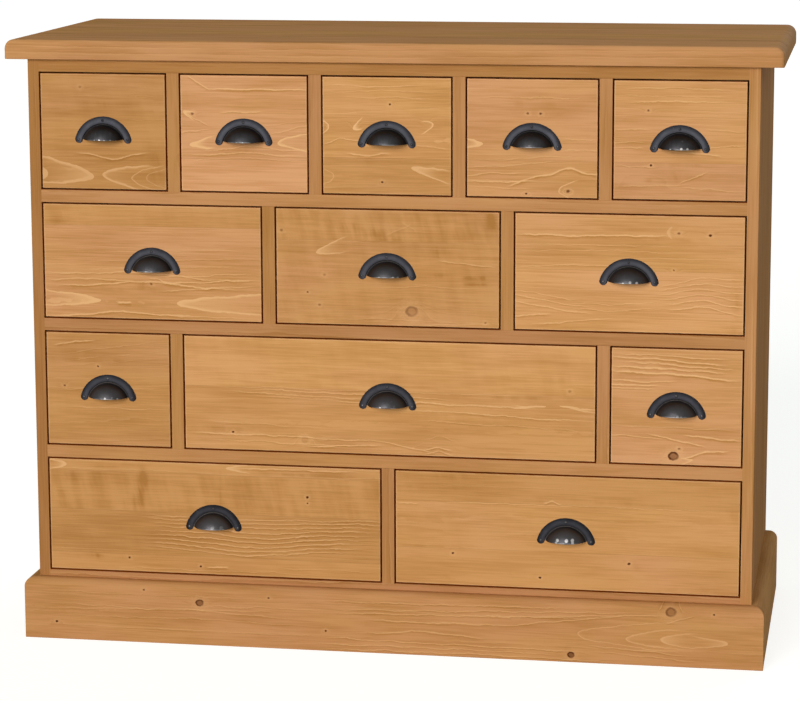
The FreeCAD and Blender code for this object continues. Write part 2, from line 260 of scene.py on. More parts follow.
def make_growth_rings():
    """Rings about a heart that runs along the board.

    The distance from the heart, over the width of a ring, plus the swell of knots and figures, gives the
    ring. Slow noise moves the heart and makes the rings uneven, and finer noise makes them ragged. Each
    ring ends in a crisp pale line with a glow behind it, as strong as chance makes it, and the next
    begins with a dusky band.
    """
    tree, wires = start_group("Growth rings", ["Board"], ["Heart", "Pith", "Ring", "Tilt", "Seed", "Swell"])
    board, heart, pith, ring, tilt, seed, swell = wires
    along, across, through = split(board)
    drift_across, drift_through, fade = split(clouds(tree, along * 1.9, seed * 7.3, 0.0, 1.0)[1])
    from_heart = across - heart - tilt * along - (drift_across - 0.5) * WANDER
    from_pith = through - pith - (drift_through - 0.5) * WANDER
    ripple = clouds(tree, along * 9.0, across * 45.0 + seed, through * 45.0)[0]
    ragged = clouds(tree, along * 60.0, across * 110.0 + seed, through * 110.0, 3.0)[0]
    distance = (from_heart * from_heart + from_pith * from_pith).math("SQRT")
    count = (distance + (ripple - 0.5) * RIPPLE + (ragged - 0.5) * RAGGED) / ring + swell
    count = count + clouds(tree, count * 0.5, seed * 3.1, 0.0, 0.0)[0] * 1.6
    place = count.math("FRACT")
    luck, shadow, _ = chances(tree, count.math("FLOOR"), seed)
    presence = clouds(tree, along * 6.0, across * 20.0, seed * 2.3, 2.0)[0].ramp(0.32, 0.62)
    profile = place.ramp(0.8, 0.95) * 0.6 + place.math("POWER", 3.0) * 0.4
    line = profile * place.ramp(1.0, 0.965) * luck.ramp(0.1, 1.0) * (presence * 0.75 + 0.25)
    dusk = place.ramp(0.35, 0.0) * (fade * 0.4 + 0.2 + shadow * 0.4)
    end_group(tree, Line=line, Dusk=dusk)


def make_wood_fibre():
    """Noise drawn out along the board: fine streaks, longer mottle, broad patches, and curl across it."""
    tree, (board, seed) = start_group("Wood fibre", ["Board"], ["Seed"])
    along, across, through = split(board)
    streak = clouds(tree, along * 14.0 + seed, across * 430.0, through * 430.0, 3.0)[0]
    mottle = clouds(tree, along * 6.0, across * 36.0 + seed, through * 36.0, 4.0)[0]
    patch = clouds(tree, along * 5.0 + seed * 1.3, across * 12.0, through * 12.0, 2.0)[0]
    curl = clouds(tree, along * 42.0 + across * 9.0, across * 9.0 + seed, through * 9.0, 3.0)[0]
    end_group(tree, Streak=streak, Mottle=mottle, Patch=patch, Curl=curl)


def make_knot():
    """A knot: distance from its middle over its size, with a wavering outline.

    Inside 1 lies the brown core, and a ring of bark lies about 1, darker on one side. A small knot has a
    dark pith in place of the bark. A faint pale halo reaches to 3, and the rings part round the knot as a
    bell curve, longer along the board than across it.
    """
    tree, along, across, (size, dark, waver) = start_mark("Knot", numbers=["Waver"])
    right = along / size
    up = across / size
    out = (right * right * 0.7 + up * up).math("SQRT")
    far = out + (waver - 0.5) / size * 0.0022
    core = far.ramp(1.15, 0.75)
    bark = far.ramp(0.5, 0.9) * far.ramp(1.3, 1.0) * size.ramp(0.002, 0.004)
    bark = bark * (1.0 - (right - up) * 0.35).held()
    pith = far.ramp(0.95, 0.3) * (size / 0.0028).math("POWER", -2.0)
    stain = ((bark + pith) * dark).held()
    halo = (out + (waver - 0.5) * 3.0).ramp(3.2, 1.4) * (1.0 - core)
    bend = (right * right * -0.05 - up * up * 0.2).math("EXPONENT")
    end_group(tree, Stain=stain, Brown=core * ((dark - 0.15) * 0.9), Halo=halo * 0.22, Bend=bend * 0.9)


def make_swell():
    """A bell curve over an oval, in rings, which makes the rings close round it or open away from it."""
    tree, along, across, (length, height, rings) = start_mark("Swell")
    right = along / length
    up = across / height
    bell = (right * right * -1.0 - up * up).math("EXPONENT")
    end_group(tree, Bend=bell * rings)


def make_tongue():
    """A ring cut to a point: a pale parabola that opens along the board from its tip.

    With r the distance from the focus and u the distance along the axis, r less u is the same all along
    a parabola, and Size is that number. The line is crisp outside and glows inside, and Filled makes the
    wood inside pale too, near the tip.
    """
    tree, along, across, wires = start_mark("Tongue", ["Drift"])
    drift, toward, size, lean, thick, reach, strength, filled = wires
    drift_along, drift_across, _ = split(drift)
    ahead = along * toward
    inside = ahead + drift_along - size * 0.5
    off = across - lean * along + drift_across
    distance = (inside * inside + off * off).math("SQRT")
    outward = (distance - inside - size) * (distance / size * 0.5).math("SQRT")
    line = outward.ramp(thick * -1.2, 0.0) * outward.ramp(thick * 0.4, 0.0)
    fill = outward.ramp(0.0, thick * -0.8) * ahead.ramp(reach * 0.7, 0.0) * filled * 0.8
    end_group(tree, Line=(line + fill) * strength * ahead.ramp(reach, reach * 0.6))


def make_vein():
    """A pale line along the board with a dusky one under it, which bows by a bell curve and fades at its
    ends.
    """
    tree, along, across, (drift, half, thick, strength, lean, bow) = start_mark("Vein", ["Drift"])
    _, _, drift_across = split(drift)
    share = along / half
    bell = (share * share * -5.0).math("EXPONENT")
    off = across - lean * along - bow * bell + drift_across
    line = off.ramp(thick * -0.4, 0.0) * off.ramp(thick * 1.2, 0.0)
    dusk = off.ramp(thick * -2.5, thick * -0.7) * off.ramp(thick * -0.1, thick * -0.7)
    shown = share.math("ABSOLUTE").ramp(1.0, 0.6) * strength
    end_group(tree, Line=line * shown, Dusk=dusk * shown)


def make_staves():
    """Equal boards glued side by side, each with a heart, rings and tone that chance gives it."""
    labels = ["Across", "Width", "Start", "Seed", "Face", "Inward", "Ring"]
    tree, wires = start_group("Staves", [], labels)
    across, width, start, seed, face, inward, ring = wires
    place = (across - start) / width
    number = place.math("FLOOR")
    within = place.math("FRACT")
    first, second, third = chances(tree, number, seed)
    tone, lean, spare = chances(tree, number + 40.5, seed)
    heart = start + (number + 0.1 + first * 0.8) * width
    pith = face + inward * (second * 0.07 + 0.012)
    edge = (within.math("MINIMUM", 1.0 - within) * width).ramp(0.0007, 0.0002)
    end_group(
        tree, Heart=heart, Pith=pith, Ring=ring * (third * 0.6 + 0.7), Tilt=(lean - 0.5) * 0.05,
        Seed=seed + number * 3.7, Tone=tone - 0.5, Lines=spare * 0.6 + 0.4, Blush=spare, Joint=edge,
    )


def make_border():
    """The worn arris of a face between Low and High, a pale line about 1.5 mm in, and the edge behind the
    face, where the brown wax has gathered.
    """
    tree, wires = start_group("Border", ["Board", "Low", "High"], ["Face"])
    board, low, high, face = wires
    from_low = each_part(tree, "SUBTRACT", board, low)
    from_high = each_part(tree, "SUBTRACT", high, board)
    along, across, _ = split(each_part(tree, "MINIMUM", from_low, from_high))
    inset = along.math("MINIMUM", across)
    depth = split(board)[2] - face
    patchy = clouds(tree, *[part * 60.0 for part in split(board)], 2.0)[0].ramp(0.3, 0.65)
    # The pale arris line is partly patchy wear and partly a painted highlight; Edge marks the edge faces
    # behind the face, which get painted shade for the gaps
    arris_wear_and_highlight = inset.ramp(0.0026, 0.0012) * depth.ramp(0.0011, 0.0005) * (patchy * 0.7 + 0.3)
    end_group(tree, Rim=arris_wear_and_highlight, Edge=depth.ramp(0.0008, 0.002) * depth.ramp(0.018, 0.006))


# What lies over the pine, and the colours of a pine finish
LAYERS = (
    "Line", "Dusk", "Streak", "Mottle", "Patch", "Curl", "CurlShare", "Blush", "Stain", "Brown", "Halo",
    "Rim", "Edge", "Tone", "Joint", "Rough",
)
TINTS = ("Body", "Pale", "Dusky", "Rosy", "Knot", "Bark", "Wax")


def make_pine_colour():
    """Lays the grain, knots and joints over the pine's own colour, and gives its gloss and relief."""
    tree, wires = start_group("Pine colour", [], LAYERS, TINTS)
    line, dusk, streak, mottle, patch, curl, curl_share, blush = wires[:8]
    stain, brown, halo, arris_wear_and_highlight, edge, tone, joint, rough = wires[8:16]
    body, pale, dusky, rosy, knot, bark, wax = wires[16:]
    shade = (0.5 - mottle) * 1.6 + (0.5 - streak) * 1.3 + dusk * 0.6 + (0.5 - curl) * 2.2 * curl_share
    colour = mix("RGBA", (blush + (patch - 0.5) * 1.8).held(), body, rosy)
    colour = mix("RGBA", (shade + 0.12).held(), colour, dusky)
    colour = mix("RGBA", (shade * -0.35).held(), colour, pale)
    # The pale arris line, partly wear and partly a painted highlight, is laid with the ring lines
    colour = mix("RGBA", (line + halo + arris_wear_and_highlight * 0.5).held(), colour, pale)
    colour = mix("RGBA", brown, colour, knot)
    colour = mix("RGBA", stain, colour, bark)
    colour = mix("RGBA", joint * 0.12, colour, bark)
    # The tone darkens the colour; on the rails, uprights, top and side panels it is partly painted shade
    tone_and_shade = join(tree, *[tone * depth + 1.0 for depth in (0.1, 0.12, 0.145)])
    # The edge faces behind the front take a darker, redder brown: painted shade for the gaps between the
    # parts
    waxed = mix("RGBA", edge * 0.95, each_part(tree, "MULTIPLY", colour, tone_and_shade), wax)
    gloss = rough + (streak - 0.5) * 0.25 - stain * 0.08
    relief = line * 0.5 + streak * 0.9 - stain * 0.4 - joint * 0.6
    end_group(tree, Colour=waxed, Rough=gloss, Relief=relief)


def give(material, *nodes):
    """Puts one material on CAD nodes."""
    for name in nodes:
        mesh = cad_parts[name].data
        mesh.materials.clear()
        mesh.materials.append(material)


# Pine

Board = namedtuple("Board", "top heart depth ring tilt seed tone lines curl blush")
Board.__doc__ = """One board of a glued-up front, in millimetres: its upper edge, the height and depth of
its heart, the width of its rings, the heart's rise per unit along it, a seed, a tone in tenths of its
brightness, the strength of its ring lines and of its curl, and how pink it is, from 0 to 1."""
Staves = namedtuple("Staves", "width start seed ring")
Staves.__doc__ = """Equal boards glued side by side: their width, the place across of one's edge, a seed,
and the width of their rings."""


def add_marks(sums, tree, kind, marks, **shared):
    """Places the shader group of that kind once for each mark, and adds its outputs to the sums. Each sum
    follows its mark at once, because a shader can't keep many values at a time.
    """
    for mark in marks:
        values = {
            label: value * MM if label in IN_MM else value for label, value in zip(MARKS[kind], mark)
        }
        for label, wire in use_group(tree, kind, **shared, **values).items():
            sums[label] = wire + sums[label]


def chosen_boards(height, boards, face, inward):
    """What the wood is like at a height on a front, by the joints between its boards."""

    def numbers(one):
        return [
            (one.heart * MM, face + inward * one.depth * MM, one.ring * MM),
            (one.tilt, one.seed, one.tone),
            (one.lines, one.curl, one.blush),
        ]

    chosen = [join(height.tree, *values) for values in numbers(boards[0])]
    joint = None
    for lower, upper in zip(boards, boards[1:]):
        above = height.math("GREATER_THAN", lower.top * MM)
        chosen = [mix("VECTOR", above, old, new) for old, new in zip(chosen, numbers(upper))]
        edge = (height - lower.top * MM).math("ABSOLUTE").ramp(0.7 * MM, 0.2 * MM)
        joint = edge if joint is None else joint + edge
    names = ("Heart", "Pith", "Ring", "Tilt", "Seed", "Tone", "Lines", "CurlShare", "Blush")
    found = dict(zip(names, [part for vector in chosen for part in split(vector)]))
    found["Joint"] = joint
    return found


def lay_pine(
    name, nodes, finish, order, staves=None, boards=None, face=0.0, inward=1.0, knots=(), swells=(),
    tongues=(), veins=(), smudges=(), tone=0.0, front=None, border=None,
):
    """Makes pine with its grain along the first axis of order, and puts it on CAD nodes.

    Its boards are either staves or a list of boards from the lowest up. MARKS says what the numbers of
    knots, swells, tongues and veins are. A smudge has the numbers of a swell, and darkens the wood where
    a swell moves its rings. Tone is added to that of the boards, front gives the place across of a front
    edge and its own tone, and border gives the low and high corners of a face with worn edges.
    """
    material, tree, shader = new_material(name)
    axes = dict(zip("XYZ", chest_axes(tree)))
    along, across, through = [axes[axis] for axis in order]
    board = join(tree, along, across, through)
    if boards:
        wood = chosen_boards(across, boards, face, inward)
    else:
        wood = use_group(
            tree, "Staves", Across=across, Width=staves.width, Start=staves.start, Seed=staves.seed,
            Face=face, Inward=inward, Ring=staves.ring,
        )
    sums = defaultdict(float)
    add_marks(sums, tree, "Swell", swells, Board=board)
    if knots:
        waver = clouds(tree, along * 260.0, across * 260.0, through * 260.0, 1.0)[0]
        add_marks(sums, tree, "Knot", knots, Board=board, Waver=waver)
    if tongues or veins:
        slow = clouds(tree, along * 24.0, across * 50.0, through * 50.0, 1.0)[1]
        quick = clouds(tree, along * 110.0, across * 160.0, through * 160.0, 2.0)[1]
        drift = join(tree, *[
            (wide - 0.5) * 0.007 + (fine - 0.5) * 0.003 for wide, fine in zip(split(slow), split(quick))
        ])
        add_marks(sums, tree, "Tongue", tongues, Board=board, Drift=drift)
        add_marks(sums, tree, "Vein", veins, Board=board, Drift=drift)
    rings = use_group(
        tree, "Growth rings", Board=board, Swell=sums["Bend"],
        **{label: wood[label] for label in ("Heart", "Pith", "Ring", "Tilt", "Seed")},
    )
    fibre = use_group(tree, "Wood fibre", Board=board, Seed=wood["Seed"])
    dusk = rings["Dusk"] * wood["Lines"] + sums["Dusk"]
    if smudges:
        dirt = defaultdict(float)
        add_marks(dirt, tree, "Swell", smudges, Board=board)
        dusk = dirt["Bend"] * (fibre["Curl"].ramp(0.6, 0.35) * 1.2 + 0.3) + dusk
    if front:
        place, front_tone = front
        tone = across.ramp(place + 2 * MM, place + 1 * MM) * (front_tone - tone) + tone
    wear_and_painted_light = {}
    if border:
        wear_and_painted_light = use_group(tree, "Border", Board=board, Low=border[0], High=border[1], Face=face)
    look = use_group(
        tree, "Pine colour", **{label: tuple(getattr(finish, label.lower())) for label in TINTS},
        Line=rings["Line"] * wood["Lines"] * finish.lines + sums["Line"], Dusk=dusk, **fibre,
        CurlShare=wood.get("CurlShare"), Blush=wood["Blush"],
        **{label: sums[label] for label in ("Stain", "Brown", "Halo")}, **wear_and_painted_light,
        Tone=wood["Tone"] + tone, Joint=wood["Joint"], Rough=finish.roughness,
    )
    feed_inputs(shader, {
        "Specular IOR Level": finish.specular, "Base Color": look["Colour"], "Roughness": look["Rough"],
    })
    add_relief(tree, shader, finish.relief, look["Relief"])
    give(material, *nodes)


# The boards of each front and of the plinth, from the lowest up, and the marks on them, as the
# photograph shows them
FRONTS = {}
FRONTS["row1_drawer1"] = dict(
    boards=[
        Board(795, 757, 30, 6, 0, 1, -1.1, 0.4, 0.1, 0),
        Board(0, 870, 60, 6, 0, 2, -0.9, 0.3, 0.2, 0.2),
    ],
    knots=[(-490, 895, 2.4, 0.2)],
    tongues=[
        (-472, 754, -1, 2.9, -0.1, 3.6, 110, 1.3, 0.6), (-455, 757, 1, 2.9, -0.09, 2.6, 90, 1.2, 0.2),
        (-408, 752, 1, 4.2, 0, 1.6, 60, 0.8, 0), (-384, 752, 1, 4, 0, 1.4, 40, 0.5, 0),
        (-546, 757, -1, 5, 0, 3, 30, 1.2, 1),
    ],
    veins=[(-440, 791, 66, 2.2, 1, 0, -10), (-430, 881, 90, 1, 0.3)],
    smudges=[(-370, 775, 16, 30, 0.5), (-440, 868, 60, 5, 0.4)],
)
FRONTS["row1_drawer2"] = dict(
    boards=[Board(784, 700, 60, 8, 0, 3, 1.1, 0.15, 0, 1), Board(0, 811, 20, 7, 0, 4, 0.6, 0.4, 0, 1)],
    knots=[(-309, 855, 2.4, 0.5)],
    tongues=[
        (-313, 806, 1, 1.2, 0.12, 2.4, 44, 1.2, 1.2), (-173, 811, 1, 1.9, 0.04, 2.2, 80, 1.1, 0.3),
        (-322, 858, 1, 1.5, -0.4, 1.8, 18, 1.1, 0.9),
    ],
    veins=[
        (-205, 894, 95, 2.2, 1), (-299, 904, 20, 2.2, 0.8, -0.6), (-232, 858, 38, 1.8, 0.8),
        (-226, 790, 105, 1.5, 0.6, 0, 6), (-215, 798, 90, 1.3, 0.5, 0, 7), (-226, 783, 105, 1.3, 0.5, 0, 4),
        (-305, 828, 28, 1.5, 0.6, 0.1), (-152, 832, 38, 1.5, 0.5, 0.18), (-300, 845, 20, 1.6, 0.6, -0.5),
        (-160, 842, 40, 1.2, 0.3, 0.12),
    ],
    smudges=[(-240, 800, 26, 5, 0.4), (-316, 875, 12, 22, 0.3)],
)
FRONTS["row1_drawer3"] = dict(
    boards=[
        Board(790, 762, 20, 6.5, 0.03, 5.5, -0.4, 0.4, 0, 0),
        Board(0, 812, 30, 6, 0.06, 5, 0.7, 0.4, 0.1, 0.1),
    ],
    knots=[(5, 874, 1.8, 0.6), (-7, 753, 1.8, 0.6)],
    swells=[(-50, 838, 8, 8, 1.2), (62, 844, 10, 10, 1.2)],
    tongues=[
        (-92, 838, -1, 6, 0, 1.8, 30, 1.1, 0), (-52, 837, 1, 2.5, 0.5, 2, 16, 1.1, 0.8),
        (74, 844, -1, 3, 0.3, 1.8, 22, 1, 0.2), (40, 775, 1, 0.9, -0.22, 2.2, 70, 1.1, 1),
        (-82, 760, -1, 4, 0, 1.4, 22, 0.6, 0),
    ],
    veins=[
        (-20, 903, 90, 1.4, 0.5, 0, -2), (-10, 892, 90, 1.2, 0.4, 0, 3), (0, 883, 80, 1.2, 0.4, 0, 2),
        (-70, 814, 36, 1.5, 0.7, 0.1, 7), (-30, 797, 40, 2.2, 0.7, 0, -4), (70, 808, 32, 1.5, 0.5, -0.1),
    ],
    smudges=[(-35, 785, 12, 14, 0.4)],
)
FRONTS["row1_drawer4"] = dict(
    boards=[Board(790, 745, 18, 7, 0, 6, 0.2, 0.4, 0, 0.5), Board(0, 850, 55, 9, 0, 7, 0.3, 0.3, 0, 0.8)],
    knots=[(220, 863, 2.2, 0.4), (240, 863, 2.2, 0.5), (283, 744, 2.6, 0.7), (218, 739, 1.9, 0.6)],
    swells=[(232, 862, 30, 9, 1)],
    tongues=[(150, 816, -1, 1, 0, 2.4, 40, 1.1, 1), (268, 745, 1, 5, 0, 1.6, 34, 0.9, 0)],
    veins=[
        (225, 888, 95, 1.4, 0.5), (302, 823, 30, 1.5, 0.6), (302, 808, 30, 1.5, 0.6),
        (170, 768, 62, 1.6, 0.6, 0.06, 2), (225, 762, 40, 2, 0.8, 0.3), (284, 767, 62, 2.2, 1.1, 0.05, 11),
        (180, 757, 62, 1.8, 0.8, 0.02), (200, 784, 95, 1.4, 0.5, 0.08), (220, 794, 95, 1.3, 0.4, 0.06),
        (175, 748, 60, 1.3, 0.5),
    ],
    smudges=[(225, 878, 40, 6, 0.4), (225, 863, 12, 4, 0.4)],
)
FRONTS["row1_drawer5"] = dict(
    boards=[
        Board(790, 765, 25, 7, 0, 8, -0.2, 0.4, 0, 0.9),
        Board(0, 815, 22, 6, -0.03, 9, 0.5, 0.5, 0, 0.5),
    ],
    knots=[(405, 870, 2, 0.4), (410, 786, 1.8, 0.5)],
    swells=[(400, 762, 40, 12, 1.6)],
    veins=[
        (415, 755, 60, 1.6, 0.6, 0.04), (475, 768, 24, 1.8, 0.7, 0.4), (450, 903, 95, 1.4, 0.5, 0, 2),
        (440, 893, 95, 1.2, 0.45, 0, -2), (455, 884, 90, 1.6, 0.7, 0.02), (380, 840, 30, 1.4, 0.5),
        (520, 840, 30, 1.4, 0.5, -0.1), (372, 820, 30, 1.5, 0.6, 0, 2), (372, 812, 30, 1.5, 0.6, 0, 2),
        (520, 816, 32, 1.5, 0.6, 0.05), (490, 803, 30, 2, 0.8, -0.1), (380, 784, 40, 1.4, 0.6),
        (500, 750, 50, 1.3, 0.5, -0.05),
    ],
    smudges=[(404, 763, 6, 5, 1), (440, 768, 30, 10, 0.5), (450, 787, 60, 4, 0.4), (540, 768, 8, 4, 0.5)],
)
FRONTS["row2_drawer1"] = dict(
    boards=[
        Board(675, 554, 20, 6, 0, 10, 0.1, 0.5, 0, 0.6),
        Board(0, 640, 50, 7, 0, 11, -0.2, 0.3, 0.2, 0.1),
    ],
    knots=[(-380, 583, 2.2, 0.4)],
    swells=[(-380, 583, 16, 7, -1.4)],
    tongues=[(-462, 555, -1, 0.9, -0.03, 2.6, 130, 1, 1.1), (-338, 553, 1, 1.1, 0, 3, 190, 1, 0.6)],
    veins=[
        (-400, 594, 170, 1.6, 0.8, -0.02, 7), (-390, 577, 170, 2, 0.9, 0, 9),
        (-425, 530, 130, 2.2, 1, 0.02, 7), (-300, 533, 90, 1.4, 0.5, -0.03),
        (-370, 609, 160, 1.3, 0.4, 0.04), (-350, 622, 150, 1.2, 0.35, 0.04),
        (-360, 636, 150, 1.2, 0.3, 0.03), (-424, 552, 13, 3, 1, 0.05), (-480, 587, 80, 1.6, 0.7, 0, 2),
        (-290, 588, 90, 1.8, 0.9, 0.07), (-290, 578, 90, 1.6, 0.7, 0.07), (-300, 598, 100, 1.4, 0.6, 0.06),
        (-370, 588, 16, 1.8, 0.8, -0.3, 3),
    ],
    smudges=[(-530, 685, 16, 14, 0.5), (-385, 581, 22, 7, 0.6), (-450, 574, 60, 4, 0.3)],
)
FRONTS["row2_drawer2"] = dict(
    boards=[
        Board(660, 600, 45, 8, 0, 12, -0.4, 0.3, 0.4, 0.3),
        Board(0, 700, 40, 8, 0, 13, -0.5, 0.3, 1, 0.2),
    ],
    knots=[
        (39, 550, 7.5, 0.45), (-100, 605, 2.2, 0.2), (-108, 557, 2.2, 0.25), (-168, 674, 2.4, 0.3),
        (-127, 577, 1.8, 0.3), (155, 535, 2, 0.3),
    ],
    swells=[(38, 550, 24, 15, 2.2)],
    tongues=[(-113, 640, 1, 1.6, 0.28, 2, 56, 0.9, 1)],
    veins=[
        (0, 533, 150, 1.3, 0.4, 0, 4), (60, 587, 100, 1.2, 0.4, 0, 3), (125, 627, 50, 1.6, 0.7, -0.12),
        (18, 677, 22, 2.6, 0.3, 0.5), (34, 684, 12, 2.4, 0.25, -0.6), (110, 530, 60, 1.6, 0.6, 0.04),
    ],
    smudges=[
        (-60, 682, 26, 9, 1.1), (-20, 672, 22, 8, 1.1), (10, 663, 20, 4, 1), (-168, 672, 5, 8, 0.8),
        (88, 648, 12, 10, 1.5), (165, 695, 10, 14, 1.1), (145, 605, 30, 3, 1.4), (150, 595, 30, 3, 1.4),
        (82, 607, 9, 4, 1), (-125, 575, 9, 6, 0.4), (39, 552, 20, 14, 0.3), (150, 540, 14, 6, 0.4),
    ],
)
FRONTS["row2_drawer3"] = dict(
    boards=[
        Board(622, 480, 25, 5.5, 0, 14, 1, 0.5, 0, 0.45),
        Board(0, 610, 20, 7.5, 0, 15, 0.4, 0.5, 0, 0.25),
    ],
    knots=[(454, 682, 2.4, 0.5), (502, 680, 2.3, 0.9), (447, 625, 1.8, 0.5)],
    tongues=[(437, 683, 1, 7, 0, 3, 8, 0.5, 1)],
    veins=[
        (320, 676, 135, 2.2, 1.1, 0.01), (300, 627, 110, 1.6, 0.6, 0, 2), (330, 661, 140, 1.2, 0.4),
        (330, 650, 140, 1.2, 0.35, 0, 3), (490, 606, 80, 1.4, 0.5, 0.1, 8),
        (490, 597, 80, 1.4, 0.55, 0.06, 9), (490, 588, 80, 1.4, 0.55, 0.03, 9),
        (492, 579, 76, 1.4, 0.6, 0, 9), (494, 570, 70, 1.5, 0.7, -0.03, 9),
        (494, 560, 64, 1.6, 0.8, -0.06, 9), (240, 583, 70, 1.4, 0.5, -0.14), (250, 573, 80, 1.4, 0.6, -0.14),
        (250, 563, 80, 1.5, 0.7, -0.14), (360, 572, 80, 1.3, 0.5, 0.03, -3),
        (360, 562, 80, 1.3, 0.5, 0.03, -3), (220, 548, 40, 1.8, 0.8, 0.12), (290, 541, 70, 1.6, 0.6, 0.1),
    ],
    smudges=[(545, 575, 8, 34, 0.6), (440, 672, 60, 4, 0.4), (540, 533, 12, 6, 0.5)],
)
FRONTS["row3_drawer1"] = dict(
    boards=[Board(0, 395, 40, 6, 0.05, 16, -0.8, 0.4, 0.1, 0.2)],
    knots=[(-470, 448, 1.8, 0.5), (-526, 415, 2, 0.4)],
    veins=[
        (-508, 486, 38, 2, 1, 0.15), (-450, 479, 80, 1.3, 0.4, 0.15), (-440, 466, 90, 1.2, 0.3, 0.12),
        (-450, 412, 90, 1.4, 0.4, 0.02), (-440, 380, 90, 1.6, 0.5), (-450, 455, 90, 1.1, 0.3, 0.1),
    ],
    smudges=[(-470, 458, 60, 4, 0.6), (-500, 470, 30, 4, 0.4)],
)
FRONTS["row3_drawer2"] = dict(
    boards=[Board(422, 365, 28, 6, 0, 17, 0, 0.5, 0, 0.3), Board(0, 470, 60, 10, 0, 18, 0.8, 0.2, 0.2, 0.1)],
    knots=[(-250, 348, 1.9, 0.9), (-133, 339, 4.5, 0.12), (288, 430, 2.6, 0.25)],
    swells=[(-133, 338, 14, 9, 1.4), (75, 335, 35, 10, 2)],
    tongues=[(251, 405, -1, 0.06, 0.04, 2, 60, 0.9, 1), (272, 407, 1, 0.08, -0.14, 2, 66, 0.9, 1)],
    veins=[
        (-60, 415, 190, 1.6, 0.7, -0.02), (-90, 409, 200, 1.5, 0.6, -0.03), (-70, 403, 160, 1.4, 0.5, -0.04),
        (110, 403, 130, 2, 0.9, -0.01), (170, 388, 160, 1.8, 0.8, -0.03), (180, 372, 150, 1.4, 0.5, -0.03),
        (-200, 344, 130, 1.8, 0.8, -0.01), (-60, 341, 60, 1.6, 0.7), (-170, 333, 130, 1.5, 0.6, -0.02),
        (-70, 331, 70, 1.8, 0.9, 0.06), (30, 333, 50, 1.8, 0.8, -0.2), (-200, 362, 110, 1.3, 0.4, -0.02),
        (-20, 421, 300, 1.2, 0.4), (80, 329, 26, 1.8, 0.9, 0, 5), (82, 322, 26, 1.6, 0.7, 0, 6),
        (84, 345, 30, 1.4, 0.4, 0, 6),
    ],
    smudges=[
        (-265, 353, 60, 6, 0.6), (210, 417, 90, 4, 0.6), (265, 449, 18, 5, 0.4), (120, 384, 120, 8, 0.3),
    ],
)
FRONTS["row3_drawer3"] = dict(
    boards=[Board(378, 345, 25, 8, 0, 19, 0.3, 0.3, 0, 0.9), Board(0, 400, 20, 6, 0, 20, 0.2, 0.4, 0, 0.6)],
    knots=[(450, 333, 6.2, 0.95), (459, 345, 2, 0.3)],
    tongues=[(480, 329, -1, 1, 0.2, 2, 24, 0.9, 0.5)],
    veins=[
        (450, 490, 95, 1.8, 0.8, -0.03), (440, 483, 100, 2, 1.1, -0.05), (460, 476, 100, 1.8, 0.9, -0.04),
        (440, 470, 100, 2, 1.1, -0.03), (450, 460, 110, 2.6, 1.4, -0.06, 2), (400, 450, 60, 1.8, 0.9, -0.03),
        (385, 444, 45, 2, 1.1), (380, 438, 45, 1.6, 0.8), (390, 362, 50, 1.8, 0.7, -0.05),
        (455, 358, 50, 2, 0.9, -0.22), (510, 363, 50, 2, 0.9, -0.06), (500, 336, 40, 2.2, 1, 0.15, 4),
        (450, 378, 100, 1.4, 0.5, -0.02),
    ],
    smudges=[(450, 455, 90, 4, 0.4)],
)
FRONTS["row4_drawer1"] = dict(
    boards=[
        Board(141, 100, 60, 8, 0, 21, -0.6, 0.3, 0, 0.1),
        Board(213, 60, 20, 5.5, 0, 22, -1.3, 0.5, 0, 0),
        Board(276, 245, 70, 11, 0, 23, -0.7, 0.15, 0.7, 0),
        Board(0, 288, 10, 7, 0, 24, -0.4, 0.6, 0, 0.3),
    ],
    knots=[(-130, 246, 2, 0.9), (-424, 135, 2.2, 0.6), (-306, 125, 2, 0.6), (-130, 236, 1.6, 0.4)],
    tongues=[(-262, 288, 1, 0.6, 0, 2, 44, 1, 1), (-525, 286, -1, 1.5, 0, 2.4, 34, 1, 1)],
    veins=[
        (-150, 289, 110, 1.8, 0.9), (-278, 124, 20, 2.2, 0.9), (-200, 208, 230, 1.5, 0.9, 0.01, -3),
        (-200, 203, 220, 1.5, 1, 0.01, -5), (-200, 197, 210, 1.5, 0.9, 0.01, -6),
        (-200, 191, 200, 1.5, 1, 0.01, -8), (-205, 184, 200, 1.5, 1, 0.01, -9),
        (-210, 177, 200, 1.6, 1.1, 0.01, -10), (-215, 170, 200, 1.6, 1.1, 0.01, -11),
        (-220, 163, 200, 1.6, 1, 0.01, -11), (-225, 156, 190, 1.5, 0.9, 0.01, -10),
        (-140, 178, 12, 2.6, 0.9, 0.1, 3), (-280, 119, 200, 1.3, 0.4), (-100, 127, 90, 1.3, 0.4, 0, 2),
    ],
    smudges=[
        (-400, 262, 8, 18, 1.8), (-408, 230, 8, 18, 1.8), (-516, 262, 12, 12, 0.6), (-532, 240, 8, 8, 0.5),
        (-482, 136, 20, 4, 2.2), (-272, 250, 2, 28, 0.4), (-190, 258, 8, 22, 0.4), (-480, 262, 14, 18, 0.3),
        (-130, 240, 6, 20, 0.3), (-120, 281, 110, 3, 0.7), (-460, 285, 30, 5, 0.5),
        (-460, 165, 120, 26, 0.25),
    ],
)
